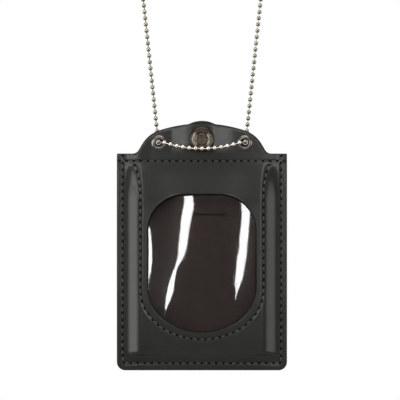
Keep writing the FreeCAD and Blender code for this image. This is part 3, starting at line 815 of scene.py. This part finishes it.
def hermite(x, knots):
    """A smooth curve through (x, value, slope) knots."""
    for (x0, v0, s0), (x1, v1, s1) in zip(knots, knots[1:]):
        if x <= x1:
            h = x1 - x0
            t = clamp((x - x0) / h)
            return (v0 * (1 + 2 * t) * (1 - t) ** 2 + s0 * h * t * (1 - t) ** 2
                    + v1 * t * t * (3 - 2 * t) + s1 * h * t * t * (t - 1))
    return knots[-1][1]


def strip_slope(x, side):
    """Slope of a face at which the camera sees a strip light mirrored at that place."""
    return ((side * STRIP_X - x) / STRIP_AWAY + (CAMERA_X - x) / CAMERA_AWAY) / 2


def strip_bend(half):
    """How fast that slope changes along X for the mirrored strip to be of a given half width."""
    return (STRIP_HALF / half / STRIP_AWAY - 1 / STRIP_AWAY - 1 / CAMERA_AWAY) / 2


def across_film(values, x):
    """The value at a place across the film, from a row of values at even steps."""
    place = (x + SAG_REACH) / SAG_STEP
    i = min(SAG_STEPS - 1, int(place))
    return values[i] + (values[i + 1] - values[i]) * (place - i)


def film_row(drop):
    """Sag of the film behind the leather at even steps along one height."""
    tables = (LEFT_STREAK, RIGHT_STREAK, EDGE_STREAK)
    left, right, edge = [hermite(drop, curve_through(table, 1)) for table in tables]
    knots = [(-END_X, LEFT_END_SLOPE, 0), (edge, strip_slope(edge, -1), strip_bend(EDGE_HALF)),
             (left, strip_slope(left, -1), strip_bend(LEFT_HALF)),
             (right, strip_slope(right, 1), strip_bend(RIGHT_HALF)), (END_X, RIGHT_END_SLOPE, 0)]
    left_extra = strip_bend(hermite(drop, curve_through(LEFT_STREAK, 2))) - strip_bend(LEFT_HALF)
    right_extra = strip_bend(hermite(drop, curve_through(RIGHT_STREAK, 2))) - strip_bend(RIGHT_HALF)
    sags = [0.0]
    for i in range(SAG_STEPS):
        x = SAG_STEP * (i + 0.5) - SAG_REACH
        slope = hermite(x, knots)
        for middle, extra in ((left, left_extra), (right, right_extra)):
            slope += extra * (x - middle) * math.exp(-((x - middle) / STREAK_REACH) ** 2)
        sags.append(sags[-1] + SAG_STEP * slope)
    at_left = across_film(sags, left)
    return [sag - at_left + SAG_AT_LEFT for sag in sags]


def film_half(z):
    if z > WINDOW_SEAM_ARCH_Z:
        return FILM_HALF
    return FILM_HALF * math.sqrt(max(0.02, 1 - ((z - WINDOW_SEAM_ARCH_Z) / FILM_ARCH) ** 2))


def window_film():
    rows = [FILM_LOW_Z + (FILM_HIGH_Z - FILM_LOW_Z) * i / FILM_ROWS for i in range(FILM_ROWS + 1)]
    sags = {z: film_row(-z) for z in rows}

    def film_face(x, z):
        sag = across_film(sags[z], x) * ramp(distance(SEAM_POINTS, x, z) / FILM_FREE, 0.3)
        return FILM_Y - FILM_RISE_SHARE * mould(x, z, slow_rise(z)) + sag

    bm = panel(rows, FILM_COLUMNS, film_half, film_face)
    face_towards(bm, (0, -1, 0))
    obj = piece(bm, "window_film_sheet", "wallet", [CLEAR_FILM], ["window_film"], crease=60)
    wall = obj.modifiers.new("thickness", "SOLIDIFY")
    wall.thickness = FILM_THICKNESS * MM
    wall.offset = -1
    settle(obj)
    # Light passes the clear film, so it casts no shadow on the leather behind it.
    obj.visible_shadow = False


# Thread: half the length, width and height of a stitch's bar and of the painted-shade lens for the hole at
# its ends, how far above the face and how slanted they lie, and the distance over which the slope of the
# face is taken.
BAR_HALVES = (1.2, 0.36, 0.26)
BAR_LIFT = 0.08
BAR_SLANT = 0.12
HOLE_HALVES = (0.9, 0.6, 0.16)
HOLE_LIFT = 0.02
HOLE_SLANT = -0.8
PROBE = 0.3


def seam_axes(face_y, side, place, along):
    """A point of a face that looks along -Y or +Y, and the directions along a seam, across and outwards."""
    outwards = Vector((0, side, 0))
    ahead = Vector((along[0], 0, along[1])).normalized()
    y = face_y(*place)
    slope = Vector()
    for arm in (ahead, outwards.cross(ahead)):
        slope += arm * ((face_y(place[0] + PROBE * arm.x, place[1] + PROBE * arm.z) - y) / PROBE)
    normal = (outwards - slope * side).normalized()
    ahead = (ahead - normal * ahead.dot(normal)).normalized()
    return Vector((place[0], y, place[1])), ahead, normal.cross(ahead), normal


def lay_bead(bm, axes, lift, slant, halves, segments):
    """A flattened bead on a face, slanted from the seam's direction."""
    base, ahead, across, normal = axes
    lean = (ahead + across * slant).normalized()
    turn = Matrix((lean, normal.cross(lean), normal)).transposed().to_4x4()
    put = Matrix.Translation(base + normal * lift) @ turn @ Matrix.Diagonal((*halves, 1))
    bmesh.ops.create_uvsphere(bm, u_segments=segments, v_segments=6, radius=1, matrix=put)


def lay_stitches(bm, points, face_y, side):
    """A bar of thread from hole to hole along a seam, and at each end a dark lens of painted shade for the
    needle hole.
    """
    holes = spaced(points, STITCH_PITCH)
    steps = [(b[0] - a[0], b[1] - a[1]) for a, b in zip(holes, holes[1:])]
    for a, b, step in zip(holes, holes[1:], steps):
        middle = ((a[0] + b[0]) / 2, (a[1] + b[1]) / 2)
        lay_bead(bm, seam_axes(face_y, side, middle, step), BAR_LIFT, BAR_SLANT, BAR_HALVES, 8)
    before = len(bm.faces)
    # Painted shade: a dark lens laid on the face at each needle hole.
    for hole, step in zip(holes, steps + steps[-1:]):
        lay_bead(bm, seam_axes(face_y, side, hole, step), HOLE_LIFT, HOLE_SLANT, HOLE_HALVES, 10)
    bm.faces.ensure_lookup_table()
    for face in bm.faces[before:]:
        face.material_index = 1


def strap_seam():
    high = [(-STRAP_SEAM_HALF, STRAP_SEAM_HIGH_Z), (STRAP_SEAM_HALF, STRAP_SEAM_HIGH_Z)]
    return high + [(STRAP_SEAM_HALF, STRAP_SEAM_LOW_Z), (-STRAP_SEAM_HALF, STRAP_SEAM_LOW_Z), high[0]]


def seams():
    """The thread of each seam; that of the outer seam also shows on the back."""
    rows = {"perimeter": [(perimeter_seam(), front_face, -1), (perimeter_seam(), back_face, 1)],
            "top": [(top_seam(), front_face, -1)],
            "window": [(window_seam(), front_face, -1)],
            "strap": [(strap_seam(), lambda x, z: STRAP_Y, 1)]}
    for name in rows:
        bm = bmesh.new()
        for row in rows[name]:
            lay_stitches(bm, *row)
        piece(bm, name + "_thread", "wallet", [THREAD, HOLE_SHADE], [name + "_stitching"],
              crease=80)


# Snap fastener and eyelets, each turned from the (radius, y) corners of its profile

# The ring on the cap: its middle radius, half width, the depth and number of its soft dips, and the radii
# between which its sides take the painted highlight.
RING_RADIUS = 4.25
RING_HALF = 0.9
RING_DIP = 0.14
RING_DIPS = 32
RING_HIGHLIGHT = (3.2, 5.3)
CAP_FACE_Y = -3


def snap_cap():
    profile = [(0, -3.5), (1.3, -3.52), (2.3, -3.58), (2.7, -3.62), (2.95, -3.55), (3.1, -3.4),
               (3.25, -3.36), (3.5, -3.42), (3.85, -3.55), (4.25, -3.6), (4.65, -3.54), (5.0, -3.4),
               (5.25, -3.3), (5.4, -3.32), (5.6, -3.45), (5.85, -3.45), (6.1, -3.32), (6.35, -3.05),
               (6.52, -2.6), (6.55, -2.2), (6.45, -1.85), (6.1, -1.6), (1.5, -1.6), (1.5, 1.55), (2.0, 1.55),
               (2.0, 1.8), (0, 1.8)]
    bm = turned(profile, 0, SNAP_Z, 192)
    for vert in bm.verts:
        dx, dz = vert.co.x, vert.co.z - SNAP_Z
        across = (math.hypot(dx, dz) - RING_RADIUS) / RING_HALF
        if abs(across) < 1 and vert.co.y < CAP_FACE_Y:
            dip = 0.5 - 0.5 * math.cos(RING_DIPS * math.atan2(dz, dx))
            vert.co.y += RING_DIP * (1 - across ** 2) * dip
    # Painted highlight: the ring's faces at the left and right, where the side lamps glint, take the lighter
    # gunmetal.
    for face in bm.faces:
        x, y, z = face.calc_center_median()
        on_lit_ring = y < CAP_FACE_Y and RING_HIGHLIGHT[0] < math.hypot(x, z - SNAP_Z) < RING_HIGHLIGHT[1]
        face.material_index = int(on_lit_ring and abs(x) > abs(z - SNAP_Z))
    piece(bm, "snap_cap_plated", "wallet", [GUNMETAL, GUNMETAL_HIGHLIGHT], ["snap_cap"], crease=50)


def snap_inside():
    """The socket behind the tab, and the stud and its rivet post on the strap."""
    socket = [(1.55, 1.2), (5.6, 1.2), (5.6, 1.6), (5.45, 1.75), (4.6, 3.4), (4.3, 3.62), (2.4, 3.65),
              (2.15, 3.5), (2.15, 3.15), (3.15, 3.15), (3.15, 2.55), (2.15, 2.55), (2.15, 1.55),
              (1.55, 1.55), (1.55, 1.2)]
    stud = [(0, 2.85), (0.95, 2.85), (0.95, 4.3), (3.7, 4.3), (3.8, 4.2), (3.75, 4.0), (3.6, 3.95),
            (1.6, 3.95), (1.5, 3.85), (1.78, 3.0), (1.75, 2.7), (1.35, 2.38), (0, 2.35)]
    post = [(0, 6.8), (1.2, 6.76), (2.4, 6.62), (3.5, 6.38), (4.3, 6.1), (4.58, 5.95), (4.55, 5.9),
            (0.9, 5.9), (0.9, 2.9), (0, 2.9)]
    for node, body, profile in (("snap_socket", "wallet", socket), ("snap_stud", "closure_strap", stud),
                                ("snap_post", "closure_strap", post)):
        piece(turned(profile, 0, SNAP_Z), node + "_plated", body, [GUNMETAL], [node], crease=50)


def eyelets():
    eyelet = [(2.0, 1.5), (2.0, -1.7), (2.08, -2.05), (2.3, -2.27), (2.65, -2.35), (3.1, -2.3), (3.6, -2.12),
              (3.95, -1.85), (4.1, -1.6), (2.35, -1.6), (2.35, 1.55), (2.75, 1.55), (2.7, 1.7), (2.45, 1.8),
              (2.15, 1.72), (2.0, 1.5)]
    washer = [(2.4, 1.2), (3.9, 1.2), (4.0, 1.26), (3.98, 1.36), (3.8, 1.52), (3.6, 1.55), (2.4, 1.55),
              (2.4, 1.2)]
    for side, x in (("left", -EYELET_X), ("right", EYELET_X)):
        piece(turned(eyelet, x, 0), "eyelet_plated_" + side, "wallet", [DARK_NICKEL],
              ["eyelet_" + side])
        piece(turned(washer, x, 0), "washer_plated_" + side, "wallet", [DARK_NICKEL],
              ["eyelet_washer_" + side])


# Ball chain: the route's corners, the smooth line through them, and the balls on that line

def smooth_line(corners):
    """Points in metres along the smooth line that the route's corners control."""
    curve = bpy.data.curves.new("route", "CURVE")
    curve.dimensions = "3D"
    curve.resolution_u = 32
    spline = curve.splines.new("NURBS")
    spline.points.add(len(corners) - 1)
    for point, corner in zip(spline.points, corners):
        point.co = (TO_ROW @ Vector(corner)).to_4d()
    spline.order_u = 3
    spline.use_endpoint_u = True
    guide = bpy.data.objects.new("route", curve)
    bpy.context.scene.collection.objects.link(guide)
    mesh = bpy.data.meshes.new_from_object(guide.evaluated_get(bpy.context.evaluated_depsgraph_get()))
    points = [v.co.copy() for v in mesh.vertices]
    bpy.data.objects.remove(guide)
    return points


def measured(line):
    """A line's points in millimetres about the eyelets, and its length."""
    back = TO_ROW.inverted()
    route = [tuple(back @ p) for p in line]
    return route, sum(math.dist(a, b) for a, b in zip(route, route[1:]))


def lay_pin(bm, a, b, radius, length):
    turn = (b - a).to_track_quat("Z", "Y").to_matrix().to_4x4()
    bmesh.ops.create_cone(bm, segments=7, radius1=radius, radius2=radius, depth=length,
                          matrix=Matrix.Translation((a + b) / 2) @ turn)


def string_balls(bm, places, pin):
    """Balls, each turned along the chain, and the pins between them, whose ends the balls hide."""
    for i, place in enumerate(places):
        along = places[min(i + 1, len(places) - 1)] - places[max(i - 1, 0)]
        turn = along.to_track_quat("Z", "Y").to_matrix().to_4x4()
        bmesh.ops.create_uvsphere(bm, u_segments=14, v_segments=9, radius=BALL_RADIUS,
                                  matrix=Matrix.Translation(place) @ turn)
    for a, b in zip(places, places[1:]):
        lay_pin(bm, a, b, pin, (b - a).length - PIN_SHORTER)


def up_strand(reach):
    return (FOOT[0] + reach * math.sin(LEAN), CHAIN_Y, FOOT[2] + reach * math.cos(LEAN))


def arch_corner(angle):
    turn = math.radians(angle)
    return (ARCH_CORNER * math.sin(turn), CHAIN_Y, ARCH_Z + ARCH_CORNER * math.cos(turn))


def mirrored(points):
    return [(-x, y, z) for x, y, z in reversed(points)]


def neck_chain():
    """The chain from one eyelet up and over to the other, as two like halves that end in the connector."""
    right = [KNUCKLE, FOOT, up_strand(7), up_strand(64.6), arch_corner(80), arch_corner(48), arch_corner(16)]
    line = smooth_line(right + mirrored(right))
    route, total = measured(line)
    step = (total / 2 - END_BALL_X) / NECK_STEPS
    fine_steps = 4000
    fine = [Vector(p) for p in spaced(route, total / fine_steps)]
    half = [fine[round(step * i / total * fine_steps)] for i in range(NECK_STEPS + 1)]
    bm = bmesh.new()
    string_balls(bm, half, NECK_PIN)
    string_balls(bm, [Vector((-p.x, p.y, p.z)) for p in half], NECK_PIN)
    chain = piece(bm, "neck_ball_chain", "neck_chain", [CHAIN_NICKEL],
                  ["chain_neck_beads", "chain_neck_pins"])
    sleeve = connector()


def connector():
    """A slotted sleeve over the chain's two end balls, open along its underside."""
    profile = [(-4.4, 0.8), (-4.8, 0.85), (-4.8, 1.45), (-4.6, 1.65), (4.6, 1.65), (4.8, 1.45), (4.8, 0.85),
               (4.4, 0.8), (4.4, 1.3), (-4.4, 1.3), (-4.4, 0.8)]
    slot = 36
    start = Matrix.Rotation(math.radians(slot / 2 - 90), 4, "X")
    bm = bmesh.new()
    verts = [bm.verts.new(Vector((x, CHAIN_Y, CONNECTOR_Z)) + start @ Vector((0, r, 0))) for x, r in profile]
    edges = [bm.edges.new(pair) for pair in zip(verts, verts[1:])]
    bmesh.ops.spin(bm, geom=verts + edges, cent=(0, CHAIN_Y, CONNECTOR_Z), axis=(1, 0, 0),
                   angle=math.radians(360 - slot), steps=54)
    bmesh.ops.remove_doubles(bm, verts=bm.verts[:], dist=0.001)
    bmesh.ops.holes_fill(bm, edges=[e for e in bm.edges if e.is_boundary])
    bmesh.ops.recalc_face_normals(bm, faces=bm.faces[:])
    return piece(bm, "chain_connector_sleeve", "neck_chain", [CHAIN_NICKEL],
                 ["chain_connector"])


def front_chain():
    """The chain's sagging stretch across the tab, with a pin at each end to the ball in the eyelet."""
    right = [(0, -5.0, -3.1), (6.5, -4.75, -2.85), (13, -3.95, -1.75), (18.4, -3.62, -0.25),
             (20.9, -3.4, 0.35), (22.45, -2.08, 0.6)]
    line = smooth_line(mirrored(right)[:-1] + right)
    route, total = measured(line)
    places = [Vector(p) for p in spaced(route, total / FRONT_STEPS)]
    bm = bmesh.new()
    string_balls(bm, places, FRONT_PIN)
    for end, side in ((places[0], -1), (places[-1], 1)):
        knuckle = Vector((side * KNUCKLE[0], KNUCKLE[1], KNUCKLE[2]))
        stop = knuckle + (end - knuckle).normalized() * PIN_STOP
        lay_pin(bm, end, stop, NECK_PIN, (stop - end).length)
    # The ends in the eyelets keep the darker nickel of the strands, as painted shade.
    for face in bm.faces:
        face.material_index = int(abs(face.calc_center_median().x) > SHADED_END_X)
    chain = piece(bm, "front_ball_chain", "wallet", [NICKEL_HIGHLIGHT, CHAIN_NICKEL],
                  ["chain_front_beads", "chain_front_pins"])


# Camera, light and floor

def camera():
    data = bpy.data.cameras.new("camera")
    data.sensor_width = 36
    data.lens = 36 * CAMERA_AWAY / SPAN
    obj = bpy.data.objects.new("camera", data)
    obj.location = TO_ROW @ Vector((CAMERA_X, -HIDE - CAMERA_AWAY, CAMERA_Z))
    obj.rotation_euler = (math.pi / 2, 0, 0)
    bpy.context.scene.collection.objects.link(obj)
    bpy.context.scene.camera = obj


def softbox(name, place, aim, width, height, radiance, spread=90):
    """A soft light of a given brightness, in millimetres about the eyelets.

    A spread below 90 degrees to each side fades its borders, and less energy keeps its brightness."""
    data = bpy.data.lights.new(name, "AREA")
    data.shape = "RECTANGLE"
    data.size = width * MM
    data.size_y = height * MM
    data.energy = radiance * math.pi * data.size * data.size_y
    if spread < 90:
        half = math.radians(spread)
        data.spread = 2 * half
        data.energy *= 1 - half / math.tan(half)
    obj = bpy.data.objects.new(name, data)
    obj.location = TO_ROW @ Vector(place)
    obj.rotation_euler = (Vector(aim) - Vector(place)).to_track_quat("-Z", "Y").to_euler()
    bpy.context.scene.collection.objects.link(obj)


def lights():
    """Two strips for the film's streaks, a fill for the slope at the left, and large boxes all round."""
    for name, x, low_z in (("left_strip", -STRIP_X, -131), ("right_strip", STRIP_X, -146)):
        middle = (low_z + STRIP_TOP_Z) / 2
        softbox(name, (x, -STRIP_AWAY, middle), (x, 0, middle), 2 * STRIP_HALF, STRIP_TOP_Z - low_z, 14)
    body = (0, 0, -50)
    softbox("left_fill", (-580, -900, 230), (0, 0, -20), 600, 260, 6.0, 24)
    softbox("left_box", (-1080, -570, -20), body, 1250, 900, 6.2, 31)
    softbox("right_box", (1080, -570, 0), body, 1000, 900, 3.6, 31)
    softbox("top_box", (0, -400, 900), body, 900, 500, 4.2)
    softbox("back_box", (-700, 1000, 350), body, 900, 900, 2.5)


def surroundings():
    """White to the camera. In mirrors it is dark in front and lighter behind and above, as in a studio."""
    world = bpy.data.worlds.new("studio")
    world.use_nodes = True
    tree = world.node_tree
    tree.nodes.clear()
    rays = add(tree, "ShaderNodeLightPath")
    direction = add(tree, "ShaderNodeTexCoord").outputs["Generated"]
    axes = add(tree, "ShaderNodeSeparateXYZ", [(0, direction)])
    behind = add(tree, "ShaderNodeMapRange", [("Value", axes.outputs["Y"]), ("From Min", -0.92),
                                              ("From Max", -0.1), ("To Min", 0.04), ("To Max", 0.7)])
    above = add(tree, "ShaderNodeMapRange", [("Value", axes.outputs["Z"]), ("From Min", 0.3),
                                             ("From Max", 0.8), ("To Min", 0.0), ("To Max", 0.9)])
    round_about = add(tree, "ShaderNodeMath", [(0, behind.outputs["Result"]), (1, above.outputs["Result"])],
                      operation="MAXIMUM")
    sharp = add(tree, "ShaderNodeMath", [(0, rays.outputs["Is Glossy Ray"]),
                                         (1, rays.outputs["Is Transmission Ray"])], operation="MAXIMUM")
    mirrored_level = add(tree, "ShaderNodeMix", [("Factor", sharp.outputs[0]), ("A", 0.2),
                                                 ("B", round_about.outputs[0])])
    level = add(tree, "ShaderNodeMix", [("Factor", rays.outputs["Is Camera Ray"]),
                                        ("A", mirrored_level.outputs["Result"]), ("B", 1.0)])
    sky = add(tree, "ShaderNodeBackground", [("Color", linear("#ffffff")),
                                             ("Strength", level.outputs["Result"])])
    add(tree, "ShaderNodeOutputWorld", [("Surface", sky.outputs[0])])
    bpy.context.scene.world = world


def paper_floor():
    """A round sheet of matt white paper, in metres, below the camera's view."""
    bm = bmesh.new()
    bmesh.ops.create_circle(bm, cap_ends=True, segments=96, radius=1.1,
                            matrix=Matrix.Translation((0, 0, -0.6)))
    mesh = bpy.data.meshes.new("floor")
    bm.to_mesh(mesh)
    bm.free()
    floor = bpy.data.objects.new("floor", mesh)
    bpy.context.scene.collection.objects.link(floor)
    settings = [("Base Color", linear("#d6d6d3")), ("Roughness", 0.8)]
    mesh.materials.append(blank_material("white_paper", settings)[0])


camera()
lights()
surroundings()
paper_floor()
neck_chain()
front_chain()
front_leather()
tab_lining()
badge_panel()
back_leather()
closing_strap()
window_film()
seams()
snap_cap()
snap_inside()
eyelets()
# The snap's spring wires are shown as they are built.
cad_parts["snap_spring"].data.materials.clear()
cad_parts["snap_spring"].data.materials.append(SPRING_STEEL)
bpy.context.scene.view_settings.view_transform = "Standard"
